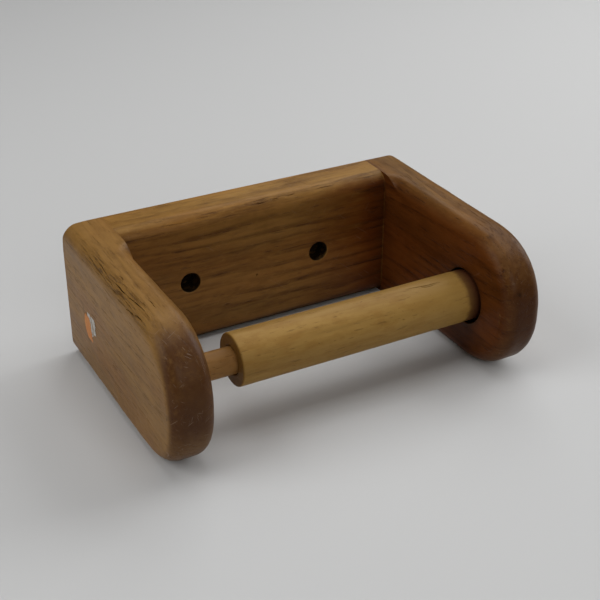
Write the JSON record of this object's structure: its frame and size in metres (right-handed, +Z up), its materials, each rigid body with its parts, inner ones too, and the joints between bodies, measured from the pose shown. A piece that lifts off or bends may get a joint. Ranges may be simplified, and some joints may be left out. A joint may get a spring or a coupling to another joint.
{
  "type": "toilet paper holder",
  "caption": "Wall-mounted wooden toilet paper holder: a back board between round-nosed arms that carry a sprung telescoping wooden roller.",
  "frame": {"origin": "middle of the back (wall) face of the back board, midway between the arms and at mid height", "axes": "+Y out of the back face into the wall, -Y towards the user, +X to the right as the holder is faced, +Z up"},
  "size_m": [0.1732, 0.1183, 0.0636],
  "materials": {
    "oak_board": "satin varnished oak, grain along X",
    "oak_arm": "satin varnished oak, grain along Y",
    "pale_wood": "satin varnished pale hardwood, grain along X",
    "birch_dowel": "raw birch",
    "spring_steel": "plain steel wire",
    "sticker_paper": "matt worn paper"
  },
  "bodies": {
    "holder": {"back_board": "oak_board", "left_arm": "oak_arm", "right_arm": "oak_arm", "left_upper_dowel": "birch_dowel", "left_lower_dowel": "birch_dowel", "right_upper_dowel": "birch_dowel", "right_lower_dowel": "birch_dowel", "paper_label": "sticker_paper"},
    "roller": {"roller_sleeve": "pale_wood", "roller_spring": "spring_steel"},
    "plunger": {"roller_plunger": "pale_wood"}
  },
  "joints": [
    {"name": "roller_spin", "type": "hinge", "parent": "holder", "child": "roller", "pos_m": [0, -0.0851, -0.0015], "axis": [1, 0, 0], "continuous": true},
    {"name": "plunger_slide", "type": "slide", "parent": "roller", "child": "plunger", "axis": [1, 0, 0], "range_m": [0, 0.02], "stiffness_N_per_m": 520, "springref_m": -0.01, "deforming": ["roller_spring"]}
  ]
}
